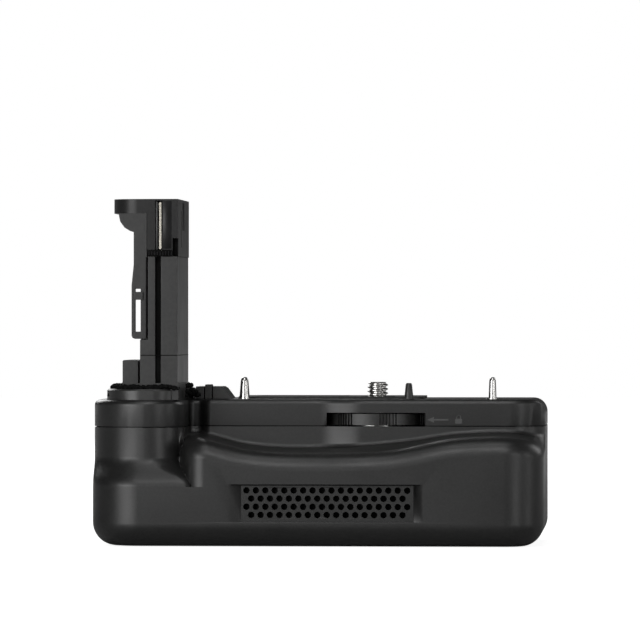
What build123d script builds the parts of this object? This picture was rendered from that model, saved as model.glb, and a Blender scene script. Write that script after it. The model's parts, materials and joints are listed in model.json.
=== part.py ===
from build123d import *
import os

# A camera battery grip with a cooling fan. All sizes are millimetres.
# X runs to the right, Y runs to the back, Z runs up, and the origin is
# on the bottom face, near its middle.

# Driving sizes of the two housings
SEAM_Z = 35.6
BODY_TOP = 43.9
WALL = 2.2
FLOOR_TOP = 2.4
DECK_UNDER = 42.0
BOTTOM_RADIUS = 7.0
SHOULDER_RADIUS = 5.6
CREASE_RADIUS = 1.5
TOP_RADIUS = 1.6

LEFT = -67.4
RIGHT = 69.0
FRONT = -37.0
BACK = 37.0

# The rim of the upper housing in plan: x, y, corner radius. The handle
# stands forward at the left, with a finger valley beside it.
CAMERA_OUTLINE = [
    (LEFT, BACK, 6.5),
    (LEFT, -32.5, 16.0),
    (-39.75, -32.5, 11.0),
    (-39.75, -4.2, 1.9),
    (-36.2, -4.2, 1.4),
    (-34.0, -8.0, 2.4),
    (3.0, -8.0, 20.0),
    (11.0, -10.0, 20.0),
    (RIGHT, -10.0, 10.75),
    (RIGHT, BACK, 6.5),
]
BASE_OUTLINE = [
    (LEFT, BACK, 6.5),
    (LEFT, FRONT, 15.0),
    (RIGHT, FRONT, 12.0),
    (RIGHT, BACK, 6.5),
]
# The upper part of the chin, which ends in a steep side by the handle.
CHIN_LEFT = -37.2
CHIN_OUTLINE = [
    (CHIN_LEFT - 4.3, BACK, 0.0),
    (CHIN_LEFT - 4.3, -24.0, 0.0),
    (CHIN_LEFT, FRONT, 6.5),
    (RIGHT, FRONT, 12.0),
    (RIGHT, BACK, 6.5),
]
# The room in front of the upper wall, where the ledge is cut away.
ROOM_OUTLINE = [
    (-46.0, -60.0, 0.0),
    (-46.0, -4.2, 0.0),
    (-36.2, -4.2, 1.4),
    (-34.0, -8.0, 2.4),
    (3.0, -8.0, 20.0),
    (11.0, -10.0, 20.0),
    (RIGHT, -10.0, 10.75),
    (RIGHT, 20.0, 0.0),
    (RIGHT + 10.0, 20.0, 0.0),
    (RIGHT + 10.0, -60.0, 0.0),
]
# The ledge from left to right: x, height beside the wall, height in front.
LEDGE = [
    (-50.0, 34.0, 33.4),
    (-40.0, 33.6, 32.9),
    (-33.0, 32.8, 32.0),
    (-26.0, 30.9, 30.2),
    (-20.0, 29.8, 28.9),
    (-12.0, 29.1, 28.1),
    (-3.0, 29.0, 27.8),
    (6.0, 29.3, 27.7),
    (15.0, 29.9, 27.8),
    (23.0, 30.6, 28.3),
    (31.0, 31.5, 29.9),
    (40.0, 32.9, 31.8),
    (49.0, 33.6, 32.5),
    (58.0, 33.7, 32.5),
    (66.0, 32.6, 31.2),
    (80.0, 29.5, 27.5),
]
# How far the handle flares forward at each height, as a share.
FLARE = [(26.8, 0.0), (25.4, 0.06), (22.4, 0.5), (19.4, 0.94), (18.0, 1.0)]

# Screw that pulls the camera down, its wheel and the tripod socket below
SCREW_X = 17.35
SCREW_Y = 7.0
SCREW_RADIUS = 3.175
NECK_RADIUS = 3.0
SHAFT_FOOT = 44.1
SCREW_TOP = 49.0
TRIPOD_X = 15.4
WHEEL_RADIUS = 17.6
WHEEL_LOW = 36.0
WHEEL_HIGH = 39.5
SLOT_LEFT = 2.5
SLOT_RIGHT = 32.7
SLOT_TOP = 39.8

# Guide pins and the small locating peg
PIN_LEFT = (-22.9, -3.0, 1.4)
PIN_RIGHT = (52.9, -3.0, 1.2)
PIN_TOP = 50.6
PEG = (27.5, -6.0, 1.2)
PIN_HEAD = 40.2
PIN_STEP = 0.6

# Vent in the front
VENT_LEFT = -21.5
VENT_RIGHT = 30.3
VENT_LOW = 7.5
VENT_HIGH = 18.8
VENT_DEPTH = 1.0
HOLE_PITCH = 2.836
HOLE_ROW = 2.445
HOLE_RADIUS = 0.98
HOLE_FIRST_X = -19.83
HOLE_TOP_Z = 16.97

# Room for one 57 x 38 x 21 mm camera battery, loaded from the back
BAY_LEFT = 21.4
BAY_RIGHT = 60.4
BAY_LOW = 3.8
BAY_HIGH = 25.0
BAY_FRONT = -22.4
BAY_BACK = 34.0
LINER = 0.9

# Battery door and its hinge line
DOOR_LEFT = 19.6
DOOR_LOW = 2.9
DOOR_HIGH = 26.6
DOOR_INNER = 34.4
HINGE_X = 62.0
HINGE_Y = 36.0
KNUCKLE = 1.0
PIN_R = 0.5

# Blower
FAN_X = -10.0
FAN_Y = 13.5
FAN_HALF = 20.0
FAN_LOW = 5.0
FAN_HIGH = 19.0

# Plate between the housings, and the six screws that go through it
PLATE_LOW = 33.5
PLATE_HIGH = 35.0
SCREWS = [(-61.5, 29.2), (-52.0, -25.0), (-33.6, 30.5), (17.3, 30.5), (64.0, 2.0), (64.0, 24.0)]

# Tower that goes into the battery room of the camera
TOWER_FRONT = -27.0
TOWER_BACK = 11.0
COLUMN_LEFT = -52.7
COLUMN_RIGHT = -41.4
GROOVE_LEFT = -48.1
GROOVE_RIGHT = -46.4
GROOVE_DEPTH = 1.5
BASE_TOP = 57.35
COLUMN_TOP = 87.2
HEAD_LEFT = -50.5
HEAD_RIGHT = -41.2
HEAD_TOP = 104.5
CAP_LEFT = -61.2
CAP_LOW = 100.2


def block(x0, x1, y0, y1, z0, z1):
    """A box between six coordinates."""
    box = Box(x1 - x0, y1 - y0, z1 - z0)
    return Pos((x0 + x1) / 2, (y0 + y1) / 2, (z0 + z1) / 2) * box


def rod(x, y, radius, z0, z1):
    """An upright cylinder."""
    return Pos(x, y, (z0 + z1) / 2) * Cylinder(radius, z1 - z0)


def shrink(points, inset):
    """The corners of an outline, moved inward by an even distance."""
    moved = []
    for place, (x, y, radius) in enumerate(points):
        before = points[place - 1]
        after = points[(place + 1) % len(points)]
        arrive = Vector(x - before[0], y - before[1]).normalized()
        leave = Vector(after[0] - x, after[1] - y).normalized()
        side = Vector(-arrive.Y, arrive.X) + Vector(-leave.Y, leave.X)
        shift = side * (inset / (1 + arrive.dot(leave)))
        turns_left = arrive.cross(leave).Z > 0
        inner_radius = max(radius - inset, 0.4) if turns_left else radius + inset
        moved.append((x + shift.X, y + shift.Y, inner_radius))
    return moved


def outline(points, inset=0.0):
    """A closed face with rounded corners, seen from above."""
    if inset:
        points = shrink(points, inset)
    corners = [(x, y) for x, y, radius in points]
    radii = [radius for x, y, radius in points]
    return make_face(FilletPolyline(*corners, radius=radii, close=True))


def prism(face, low, high):
    """A face of the XY plane, pulled up between two heights."""
    return extrude(Plane.XY.offset(low) * face, amount=high - low)


def rounded_block(x0, x1, y0, y1, z0, z1, radius):
    """A box with its four upright edges rounded."""
    face = outline([(x0, y1, radius), (x0, y0, radius), (x1, y0, radius), (x1, y1, radius)])
    return prism(face, z0, z1)


def ledge_section(y, lower=0.0):
    """Everything above the ledge, as a face across the grip."""
    share = (-8.0 - y) / 32.0
    points = [(x, inner + (outer - inner) * share - lower) for x, inner, outer in LEDGE]
    left = points[0]
    right = points[-1]
    rim = Polyline(right, (right[0], 60), (left[0], 60), left)
    plane = Plane(origin=(0, y, 0), x_dir=(1, 0, 0), z_dir=(0, -1, 0))
    return plane * make_face([Spline(*points), rim])


def room_above(lower=0.0):
    """The space over the ledge, straight from front to back."""
    return loft([ledge_section(-44, lower), ledge_section(30, lower)], ruled=True)


def ledge_room():
    """The space cut away over the ledge, rounded where it meets the wall."""
    room = prism(outline(ROOM_OUTLINE), 0, 60) & room_above()
    wall = outline(CAMERA_OUTLINE).faces()[0].outer_wire()
    foot = []
    for edge in room.edges():
        middle = edge.position_at(0.5)
        shadow = Vertex(middle.X, middle.Y, 0)
        on_wall = wall.distance_to(shadow) < 0.02 and middle.X > -36.0
        on_side = abs(middle.X - RIGHT) < 0.01 and 0.8 < middle.Y < 19
        if edge.geom_type != GeomType.LINE and 15 < middle.Z < 36 and on_wall:
            foot.append(edge)
        elif middle.Z < 40 and on_side and edge not in foot:
            foot.append(edge)
    return fillet(foot, CREASE_RADIUS)


def handle_level(height, share):
    """The handle in plan at one height of its flare."""
    front = -32.5 + (FRONT + 32.5) * share
    left_radius = 16.0 - share
    right = -39.75 + 3.0 * share
    right_radius = 11.0 - 9.5 * share
    points = [(LEFT, 6.0, 1.0), (LEFT, front, left_radius), (right, front, right_radius), (right, 6.0, 1.0)]
    return Plane.XY.offset(height) * outline(points)


def handle():
    """The handle, flaring forward into the chin below it."""
    neck = prism(handle_level(0, 0.0), FLARE[0][0], SEAM_Z)
    flare = loft([handle_level(height, share) for height, share in FLARE])
    return neck + flare


def chin():
    """The broad lower front with its wavy ledge."""
    body = prism(outline(CHIN_OUTLINE), 0, SEAM_Z) - ledge_room()
    shoulder = []
    for edge in body.edges():
        middle = edge.position_at(0.5)
        low = edge.bounding_box().size.Z < 8 and 20 < middle.Z < 34.8
        front = middle.Y < -33 and (middle.X < -33 or middle.X > 58 or middle.Y < FRONT + 0.01)
        left = middle.X < CHIN_LEFT and -34 < middle.Y < -24.5
        side = abs(middle.X - RIGHT) < 0.01 and middle.Y < -0.5
        if low and (front or left or side):
            shoulder.append(edge)
    shoulder.sort(key=lambda edge: edge.position_at(0.5).Y)
    return fillet(shoulder, SHOULDER_RADIUS)


def lower_outer():
    """The lower housing as a full lump, before it is hollowed."""
    body = prism(outline(BASE_OUTLINE), 0, FLARE[-1][0])
    body = body + handle() + prism(outline(CAMERA_OUTLINE), 10, SEAM_Z)
    body = body + chin()
    bowl = prism(outline(BASE_OUTLINE), 0, SEAM_Z)
    bowl = fillet(bowl.edges().group_by(Axis.Z)[0], BOTTOM_RADIUS)
    return body & bowl


def lower_cavity():
    """The space inside the lower housing."""
    under = prism(outline(BASE_OUTLINE, WALL), FLOOR_TOP, SEAM_Z) - room_above(2.5)
    under = under - block(-80, CHIN_LEFT + WALL + 1, -50, 50, 15.5, 60)
    under = chamfer(under.edges().group_by(Axis.Z)[0], 3.4)
    upright = prism(outline(CAMERA_OUTLINE, WALL + 0.08), 6.4, SEAM_Z)
    return under + upright


def vent_pocket():
    """The shallow pocket of the vent, with a ramp at each end."""
    points = [
        (VENT_LEFT - 4.0, -37.0),
        (VENT_LEFT, -37.0 + VENT_DEPTH),
        (VENT_RIGHT, -37.0 + VENT_DEPTH),
        (VENT_RIGHT + 2.9, -37.0),
        (VENT_RIGHT + 2.9, -39.0),
        (VENT_LEFT - 4.0, -39.0),
    ]
    return prism(make_face(Polyline(*points, close=True)), VENT_LOW, VENT_HIGH)


def screw_wells():
    """Six columns for the housing screws, and the wells inside them."""
    columns = [rod(x, y, 3.0, FLOOR_TOP - 0.4, PLATE_LOW) for x, y in SCREWS]
    wells = []
    for x, y in SCREWS:
        wells.append(rod(x, y, 2.1, -1, 24.0) + rod(x, y, 1.3, 23.0, 34.0))
    return columns, wells


def fan_posts():
    """Four short posts that carry the blower."""
    reach = FAN_HALF - 3.0
    spots = [(sx * reach, sy * reach) for sx in (-1, 1) for sy in (-1, 1)]
    return [rod(FAN_X + dx, FAN_Y + dy, 2.5, FLOOR_TOP - 0.4, FAN_LOW) for dx, dy in spots]


def make_lower_housing():
    """Lower housing with vent, door opening and screw columns."""
    outer = lower_outer()
    columns, wells = screw_wells()
    body = outer - lower_cavity()
    for column in columns:
        body = body + (column & outer)
    for post in fan_posts():
        body = body + post
    body = body - vent_pocket()
    body = body - block(VENT_LEFT, VENT_RIGHT, -37, -34, VENT_LOW, VENT_HIGH)
    body = body - block(BAY_LEFT - 1.1, BAY_RIGHT + 1.0, BAY_FRONT - 1.1, 34.6, BAY_LOW - LINER, BAY_HIGH + 1.1)
    body = body - block(DOOR_LEFT - 0.3, HINGE_X + 1.3, 34.2, 38, DOOR_LOW - 0.3, DOOR_HIGH + 0.3)
    body = body - block(17.9, 20.0, 34.7, 36.1, 13.6, 16.4)
    for low, high in ((8.0, 11.0), (22.0, 25.0)):
        arm = block(HINGE_X, HINGE_X + 2.0, HINGE_Y - KNUCKLE, HINGE_Y + KNUCKLE, low, high)
        body = body + rod(HINGE_X, HINGE_Y, KNUCKLE, low, high) + (arm & outer)
    body = body - rod(HINGE_X, HINGE_Y, PIN_R + 0.03, 7.0, 25.5)
    body = body - rod(TRIPOD_X, SCREW_Y, 4.15, -1, 6)
    for well in wells:
        body = body - well
    return body, outer


def upper_outer():
    """The upper housing as a full lump, with its rounded rim."""
    body = prism(outline(CAMERA_OUTLINE), SEAM_Z, BODY_TOP)
    corner = Plane.XZ * make_face(
        FilletPolyline(
            (-70.0, 30.0),
            (RIGHT, 30.0),
            (RIGHT, BODY_TOP),
            (-70.0, BODY_TOP),
            radius=[0.0, 0.0, 4.4, 0.0],
            close=True,
        )
    )
    rim = fillet(body.edges().group_by(Axis.Z)[-1], TOP_RADIUS)
    return rim & extrude(corner, amount=60, both=True)


def make_upper_housing():
    """Upper housing: a shallow lid with the deck that meets the camera."""
    outer = upper_outer()
    body = outer - prism(outline(CAMERA_OUTLINE, WALL), SEAM_Z - 1, DECK_UNDER)
    groove = prism(outline(CAMERA_OUTLINE), SEAM_Z - 0.1, SEAM_Z + 0.3)
    groove = groove - prism(outline(CAMERA_OUTLINE, 0.5), SEAM_Z - 0.2, SEAM_Z + 0.4)
    body = body - groove
    for x, y in SCREWS:
        boss = rod(x, y, 2.6, PLATE_HIGH, DECK_UNDER + 0.4)
        body = body + (boss - block(-80, 80, -80, 80, 30, PLATE_HIGH))
    for x, y in SCREWS:
        body = body - rod(x, y, 1.25, 30, 41.5)
    body = body - block(SLOT_LEFT, SLOT_RIGHT, -14, -4, 30, SLOT_TOP)
    body = body - rod(SCREW_X, SCREW_Y, 5.1, 40, 46)
    for x, y, radius in (PIN_LEFT, PIN_RIGHT, PEG):
        body = body + rod(x, y, 3.0, PIN_HEAD + 0.8, DECK_UNDER + 0.4)
        body = body - rod(x, y, radius + PIN_STEP + 0.02, 39, 46)
    for place in range(7):
        x = -18.0 + 3.6 * place
        body = body - rounded_block(x, x + 2.2, 11.5, 26.5, 40, 46, 1.0)
    for x, y in TOWER_SCREWS:
        body = body - rod(x, y, 1.3, 40, 46)
    return body


def make_vent_grille():
    """Perforated plate in the vent, held by a flange behind the wall."""
    slack = 0.05
    floor = -37.0 + VENT_DEPTH
    plate = block(VENT_LEFT + slack, VENT_RIGHT - slack, floor, -34.7, VENT_LOW + slack, VENT_HIGH - slack)
    plate = plate + block(VENT_LEFT - 1, VENT_RIGHT + 1, -34.8, -33.8, VENT_LOW - 1, VENT_HIGH + 1)
    plate = plate - block(VENT_LEFT + 0.6, VENT_RIGHT - 0.6, -34.9, -33, VENT_LOW + 0.6, VENT_HIGH - 0.6)
    centres = []
    for row in range(4):
        indent = HOLE_PITCH / 2 * (row % 2)
        for place in range(18 - row % 2):
            centres.append((HOLE_FIRST_X + indent + HOLE_PITCH * place, HOLE_TOP_Z - HOLE_ROW * row))
    front = Plane(origin=(0, floor - 1, 0), x_dir=(1, 0, 0), z_dir=(0, -1, 0))
    holes = [front * Pos(x, z) * RegularPolygon(HOLE_RADIUS, 16) for x, z in centres]
    return plate - extrude(Sketch() + holes, amount=-4)


def make_chassis_plate():
    """Sheet between the housings that carries the wheel and the board."""
    plate = prism(outline(CAMERA_OUTLINE, 2.8), PLATE_LOW, PLATE_HIGH)
    for x, y in SCREWS:
        plate = plate - rod(x, y, 1.4, 30, 38)
    plate = plate - rod(SCREW_X, SCREW_Y, SCREW_RADIUS + 0.3, 30, 38)
    plate = plate - rounded_block(-25, -3, 8, 30, 30, 38, 3)
    plate = plate - rounded_block(38, 60, 2, 30, 30, 38, 3)
    return plate - rounded_block(-50, -38, -14, 6, 30, 38, 3)


def make_attachment_screw():
    """The camera screw, plain here; its thread is cut in the scene."""
    shank = rod(SCREW_X, SCREW_Y, SCREW_RADIUS, SHAFT_FOOT, SCREW_TOP)
    shank = chamfer(shank.edges().group_by(Axis.Z)[-1], 0.5)
    return shank + rod(SCREW_X, SCREW_Y, NECK_RADIUS, 32.2, SHAFT_FOOT)


def make_lock_wheel():
    """Thin wheel on the camera screw, reached through the front slot."""
    wheel = rod(SCREW_X, SCREW_Y, WHEEL_RADIUS, WHEEL_LOW, WHEEL_HIGH)
    wheel = chamfer(wheel.edges(), 0.4)
    wheel = wheel - rod(SCREW_X, SCREW_Y, NECK_RADIUS + 0.02, 30, 45)
    relief = rod(SCREW_X, SCREW_Y, 13.0, WHEEL_HIGH - 0.8, 42) - rod(SCREW_X, SCREW_Y, 6.0, 30, 45)
    return wheel - relief


def make_screw_clip():
    """Clip under the plate that keeps the screw in place."""
    return rod(SCREW_X, SCREW_Y, 5.2, 32.5, 33.3) - rod(SCREW_X, SCREW_Y, NECK_RADIUS + 0.02, 30, 38)


def make_wheel_washer():
    """Washer between the plate and the wheel."""
    return rod(SCREW_X, SCREW_Y, 8.5, PLATE_HIGH, WHEEL_LOW - 0.1) - rod(SCREW_X, SCREW_Y, 3.5, 30, 38)


def make_screw_bearing():
    """Flanged bush in the deck around the camera screw."""
    bush = rod(SCREW_X, SCREW_Y, 5.05, 40.2, BODY_TOP) + rod(SCREW_X, SCREW_Y, 7.0, 40.2, DECK_UNDER)
    return bush - rod(SCREW_X, SCREW_Y, NECK_RADIUS + 0.07, 38, 46)


def make_pin(x, y, radius):
    """Steel guide pin with a bullet tip and a head under the deck."""
    tip = 1.9 * radius
    low = PIN_HEAD
    wide = radius + 1.1
    press = radius + PIN_STEP
    steps = [(0, low), (wide, low), (wide, low + 0.8), (press, low + 0.8), (press, SHAFT_FOOT)]
    profile = Polyline(*steps, (radius, SHAFT_FOOT), (radius, PIN_TOP - tip))
    nose = Spline(
        (radius, PIN_TOP - tip),
        (radius * 0.62, PIN_TOP - tip * 0.28),
        (0, PIN_TOP),
        tangents=[(0, 1), (-1, 0.25)],
    )
    axis_line = Line((0, PIN_TOP), (0, low))
    face = Plane.XZ * make_face([*profile.edges(), nose, axis_line])
    return Pos(x, y, 0) * revolve(face, Axis.Z)


def make_locating_peg():
    """Short dark peg beside the camera screw."""
    x, y, radius = PEG
    peg = rod(x, y, radius, PIN_HEAD, 48.8)
    peg = chamfer(peg.edges().group_by(Axis.Z)[-1], 0.3)
    return peg + rod(x, y, radius + PIN_STEP, PIN_HEAD, BODY_TOP)


def make_tripod_socket():
    """Threaded insert in the floor, with a square flange inside."""
    socket = rod(TRIPOD_X, SCREW_Y, 4.1, 0.0, 7.5) + block(10.4, 20.2, 1.0, 13.0, FLOOR_TOP, 4.0)
    return socket - rod(TRIPOD_X, SCREW_Y, 2.6, -1, 5.8)


def make_top_seal():
    """Soft pad on the deck, open around the screw and over the duct."""
    pad = rounded_block(-25.2, 31.6, 1.0, 31.0, BODY_TOP, BODY_TOP + 0.7, 2.0)
    pad = pad - rod(SCREW_X, SCREW_Y, 5.6, 40, 46)
    return pad - rounded_block(-20.0, 8.0, 10.0, 28.0, 40, 46, 1.5)


TOWER_SCREWS = [(-49.5, -20.0), (-44.0, -20.0), (-49.5, 4.0), (-44.0, 4.0)]


def make_tower_base():
    """Foot of the tower, standing on the deck of the handle."""
    left = block(COLUMN_LEFT, GROOVE_LEFT, TOWER_FRONT, TOWER_BACK, BODY_TOP, BASE_TOP - 0.1)
    right = block(GROOVE_RIGHT, COLUMN_RIGHT, TOWER_FRONT, TOWER_BACK, BODY_TOP, BASE_TOP - 0.1)
    web = block(GROOVE_LEFT, GROOVE_RIGHT, TOWER_FRONT + 1.0, TOWER_BACK - 1.0, BODY_TOP, BASE_TOP)
    foot = block(COLUMN_LEFT - 0.6, COLUMN_RIGHT + 0.35, TOWER_FRONT - 0.3, TOWER_BACK + 0.3, BODY_TOP, 48.9)
    body = left + right + web + foot
    body = body - block(-50.3, -43.4, -25.0, 9.0, 52.0, 60.0)
    for x, y in TOWER_SCREWS:
        body = body - rod(x, y, 1.1, 40, 50.5)
    return body


def make_column_left_shell():
    """Left half of the column, with the floor of the front groove."""
    shell = block(COLUMN_LEFT, GROOVE_LEFT, TOWER_FRONT, TOWER_BACK, BASE_TOP, COLUMN_TOP)
    back = TOWER_BACK - GROOVE_DEPTH
    shell = shell + block(GROOVE_LEFT, GROOVE_RIGHT, TOWER_FRONT + GROOVE_DEPTH, back, BASE_TOP, COLUMN_TOP)
    shell = shell - block(-50.9, -46.0, -23.0, 9.0, BASE_TOP - 1, COLUMN_TOP - 1.6)
    return shell - block(-60.0, -50.4, -28.0, -24.3, 62.1, COLUMN_TOP + 1)


def make_column_right_shell():
    """Right half of the column."""
    shell = block(GROOVE_RIGHT, COLUMN_RIGHT, TOWER_FRONT, TOWER_BACK, BASE_TOP, COLUMN_TOP)
    return shell - block(GROOVE_RIGHT - 1, -42.8, -25.4, 9.0, BASE_TOP - 1, COLUMN_TOP - 1.6)


def make_contact_head():
    """Head of the tower with the contact slots and the overhanging cap."""
    body = block(HEAD_LEFT, HEAD_RIGHT, TOWER_FRONT, TOWER_BACK, COLUMN_TOP, HEAD_TOP)
    points = [
        (HEAD_LEFT - 0.6, TOWER_BACK, 0.0),
        (CAP_LEFT, TOWER_BACK, 4.0),
        (CAP_LEFT, TOWER_FRONT, 7.8),
        (HEAD_RIGHT, TOWER_FRONT, 0.8),
        (HEAD_RIGHT, TOWER_BACK, 0.8),
    ]
    body = body + prism(outline(points), CAP_LOW, HEAD_TOP)
    body = body + block(HEAD_LEFT, HEAD_RIGHT, TOWER_FRONT - 0.4, TOWER_FRONT, 88.9, HEAD_TOP)
    body = body - block(-48.1, -45.9, -28.0, -24.5, 88.6, HEAD_TOP - 0.5)
    body = body - block(-42.8, -40.0, -28.0, -25.4, COLUMN_TOP - 1, 92.7)
    body = body - block(-42.2, -40.0, -15.0, -14.0, 90.0, 101.0)
    for place in range(5):
        y = -21.0 + 5.4 * place
        body = body - block(-48.2, -44.0, y, y + 2.0, HEAD_TOP - 4.0, HEAD_TOP + 1)
    return body


def make_tower_contacts():
    """Bright contact strips: one in the front slot, five in the top."""
    strips = [block(-46.95, -46.3, -26.4, -24.5, 89.4, HEAD_TOP - 1.0)]
    for place in range(5):
        y = -21.0 + 5.4 * place
        strips.append(block(-47.6, -44.6, y + 0.7, y + 1.3, HEAD_TOP - 4.0, HEAD_TOP - 0.4))
    return Compound(children=strips)


def make_cover_holder_arm():
    """Flat arm beside the column that holds the loose battery cover."""
    points = [
        (-50.6, CAP_LOW),
        (-59.2, CAP_LOW),
        (-58.7, 97.7),
        (-57.4, 95.9),
        (-55.8, 94.9),
        (-54.6, 94.5),
        (-54.6, 84.8),
        (-55.25, 78.4),
        (-55.25, 63.3),
        (-54.95, 62.6),
        (-54.2, 62.3),
        (-50.6, 62.3),
    ]
    face = Plane.XZ * make_face(Polyline(*points, close=True))
    arm = Pos(0, -27.2, 0) * extrude(face, amount=-2.8)
    return arm - block(-54.2, -52.5, -30, -20, 64.5, 77.4)


def make_cover_latch():
    """Small catch that slides in the window of the arm."""
    latch = block(-54.1, -52.85, -28.0, -24.0, 74.1, 76.5)
    latch = latch + block(-54.5, -51.8, -28.0, -27.3, 74.1, 76.5)
    return latch + block(-54.6, -52.85, -24.3, -23.4, 74.1, 76.5)


def make_cover_stop_block():
    """Block at the left of the tower foot."""
    stop = block(-58.3, COLUMN_LEFT - 0.8, -24.0, 2.0, 47.2, 55.9)
    return chamfer(stop.edges().filter_by(Axis.Y).group_by(Axis.Z)[-1], 0.3)


def collar_face(inset):
    """The collar around the foot of the tower, seen from above."""
    points = [
        (-63.4, 13.5, 4.0),
        (-63.4, -30.0, 11.0),
        (-41.4, -30.0, 7.5),
        (-40.6, -4.0, 1.5),
        (-38.8, -1.0, 1.5),
        (-38.8, 13.5, 3.0),
    ]
    return outline(points, inset)


def make_tower_collar():
    """Raised rim around the foot of the tower."""
    collar = prism(collar_face(0.0), BODY_TOP, 47.2)
    collar = chamfer(collar.edges().group_by(Axis.Z)[-1], 0.5)
    return collar - block(COLUMN_LEFT - 0.8, COLUMN_RIGHT + 0.5, TOWER_FRONT - 0.5, TOWER_BACK + 0.5, 40, 50)


def make_tower_gasket():
    """Soft gasket on the collar."""
    gasket = prism(collar_face(1.2), 47.2, 48.2)
    gasket = gasket - block(COLUMN_LEFT - 0.8, COLUMN_RIGHT + 0.5, TOWER_FRONT - 0.5, TOWER_BACK + 0.5, 40, 50)
    return gasket - block(-58.5, COLUMN_LEFT, -24.2, 2.2, 40, 50)


def make_pocket_block():
    """Low block at the right of the tower, sloping down to the deck."""
    points = [(-37.9, BODY_TOP), (-26.6, BODY_TOP), (-29.0, 47.1), (-29.9, 47.65), (-37.9, 47.65)]
    face = Plane.XZ * make_face(Polyline(*points, close=True))
    lump = Pos(0, 11.0, 0) * extrude(face, amount=13.6)
    return lump - block(-35.4, -32.7, -3, 3.3, 40, 50)


def make_switch_post():
    """Small post in the notch of the pocket block."""
    post = block(-35.1, -33.0, -2.4, 3.0, BODY_TOP, 48.3)
    return chamfer(post.edges().group_by(Axis.Z)[-1], 0.2)


def make_battery_door(outer):
    """Battery door, cut from the outer shape so that it lies flush."""
    panel = outer & block(DOOR_LEFT, HINGE_X - 1.4, DOOR_INNER, 38, DOOR_LOW, DOOR_HIGH)
    web = block(HINGE_X - 1.6, HINGE_X, HINGE_Y - KNUCKLE, HINGE_Y + KNUCKLE, 11.3, 21.7)
    door = panel + web + rod(HINGE_X, HINGE_Y, KNUCKLE, 11.3, 21.7)
    door = door - rod(HINGE_X, HINGE_Y, PIN_R + 0.05, 7, 26)
    door = door - block(23.0, 33.0, 35.9, 38, 11.8, 18.2)
    return door - block(19.0, 30.2, 34.9, 36.0, 13.6, 16.4)


def make_door_latch():
    """Sliding latch of the battery door, drawn back at rest."""
    thumb = block(24.6, 32.6, 36.0, 37.0, 12.0, 18.0)
    thumb = chamfer(thumb.edges().group_by(Axis.Y)[-1], 0.35)
    return thumb + block(19.8, 30.0, 35.0, 36.0, 13.8, 16.2)


def make_door_hinge_pin():
    """Steel pin through the knuckles of the door."""
    return rod(HINGE_X, HINGE_Y, PIN_R, 7.3, 25.3)


def make_bay_liner():
    """Thin box that guides the battery."""
    outer = block(BAY_LEFT - LINER, BAY_RIGHT + LINER, BAY_FRONT - LINER, BAY_BACK, BAY_LOW - LINER, BAY_HIGH + LINER)
    liner = outer - block(BAY_LEFT, BAY_RIGHT, BAY_FRONT, BAY_BACK + 1, BAY_LOW, BAY_HIGH)
    liner = liner - block(33.0, 49.0, BAY_FRONT - 2, BAY_FRONT + 1, 8.0, 14.0)
    liner = liner - block(35.8, 44.2, 29.8, 35.0, BAY_HIGH - 1, BAY_HIGH + 2)
    return liner


def make_bay_contacts():
    """Contact block at the front end of the battery room."""
    body = block(33.1, 48.9, BAY_FRONT - 1.0, BAY_FRONT, 8.1, 13.9)
    for place in range(5):
        x = 35.0 + 3.0 * place
        body = body + block(x - 0.35, x + 0.35, BAY_FRONT - 0.2, BAY_FRONT + 1.6, 9.5, 12.5)
    return body


def make_battery_catch():
    """Catch that keeps the battery in while the door is open."""
    hook = block(36.0, 44.0, 33.0, 33.9, 23.9, 25.6)
    return hook + block(36.0, 44.0, 30.0, 33.9, 25.3, 27.0)


def make_catch_bracket():
    """Bracket on the battery box that leads the catch."""
    bracket = block(34.0, 46.0, 29.8, 33.9, 25.9, 29.8)
    return bracket - block(35.8, 44.2, 29.0, 35.0, 25.0, 28.8)


def make_fan_housing():
    """Open scroll of the blower, with the axle in its middle."""
    body = block(FAN_X - 20, FAN_X + 20, FAN_Y - 20, FAN_Y + 20, FAN_LOW, FAN_HIGH - 1.2)
    body = body - rod(FAN_X, FAN_Y, 17.8, FAN_LOW + 1.2, 30)
    body = body - block(FAN_X - 18.6, FAN_X, FAN_Y - 21, FAN_Y, FAN_LOW + 1.2, 30)
    return body + rod(FAN_X, FAN_Y, 2.0, FAN_LOW + 1.0, 16.6)


def make_fan_lid():
    """Lid of the blower with the round air inlet."""
    lid = block(FAN_X - 20, FAN_X + 20, FAN_Y - 20, FAN_Y + 20, FAN_HIGH - 1.2, FAN_HIGH)
    return lid - rod(FAN_X, FAN_Y, 12.5, 10, 30)


def make_fan_impeller():
    """Bladed drum of the blower."""
    drum = rod(FAN_X, FAN_Y, 16.6, 6.8, 7.8) + rod(FAN_X, FAN_Y, 7.0, 6.8, 17.0)
    for place in range(21):
        blade = Rot(0, 0, 360 / 21 * place) * Pos(13.8, 0, 12.1) * Rot(0, 0, 24) * Box(5.0, 0.7, 8.8)
        drum = drum + Pos(FAN_X, FAN_Y, 0) * blade
    return drum - rod(FAN_X, FAN_Y, 2.06, 0, 30)


def duct_plan(inset):
    """The duct between blower and grille, seen from above."""
    points = [
        (FAN_X - 20 + inset, FAN_Y - 20),
        (FAN_X - 20 + inset, -20.0),
        (-22.4 + inset, -33.8),
        (31.2 - inset, -33.8),
        (31.2 - inset, -25.6 - inset),
        (18.8 - inset, -24.8 - inset * 0.5),
        (FAN_X + 20 - inset, FAN_Y - 20),
    ]
    return make_face(Polyline(*points, close=True))


def make_air_duct():
    """Duct that joins the blower to the grille."""
    return prism(duct_plan(0.0), 5.9, 19.8) - prism(duct_plan(1.0), 6.9, 18.8)


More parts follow.
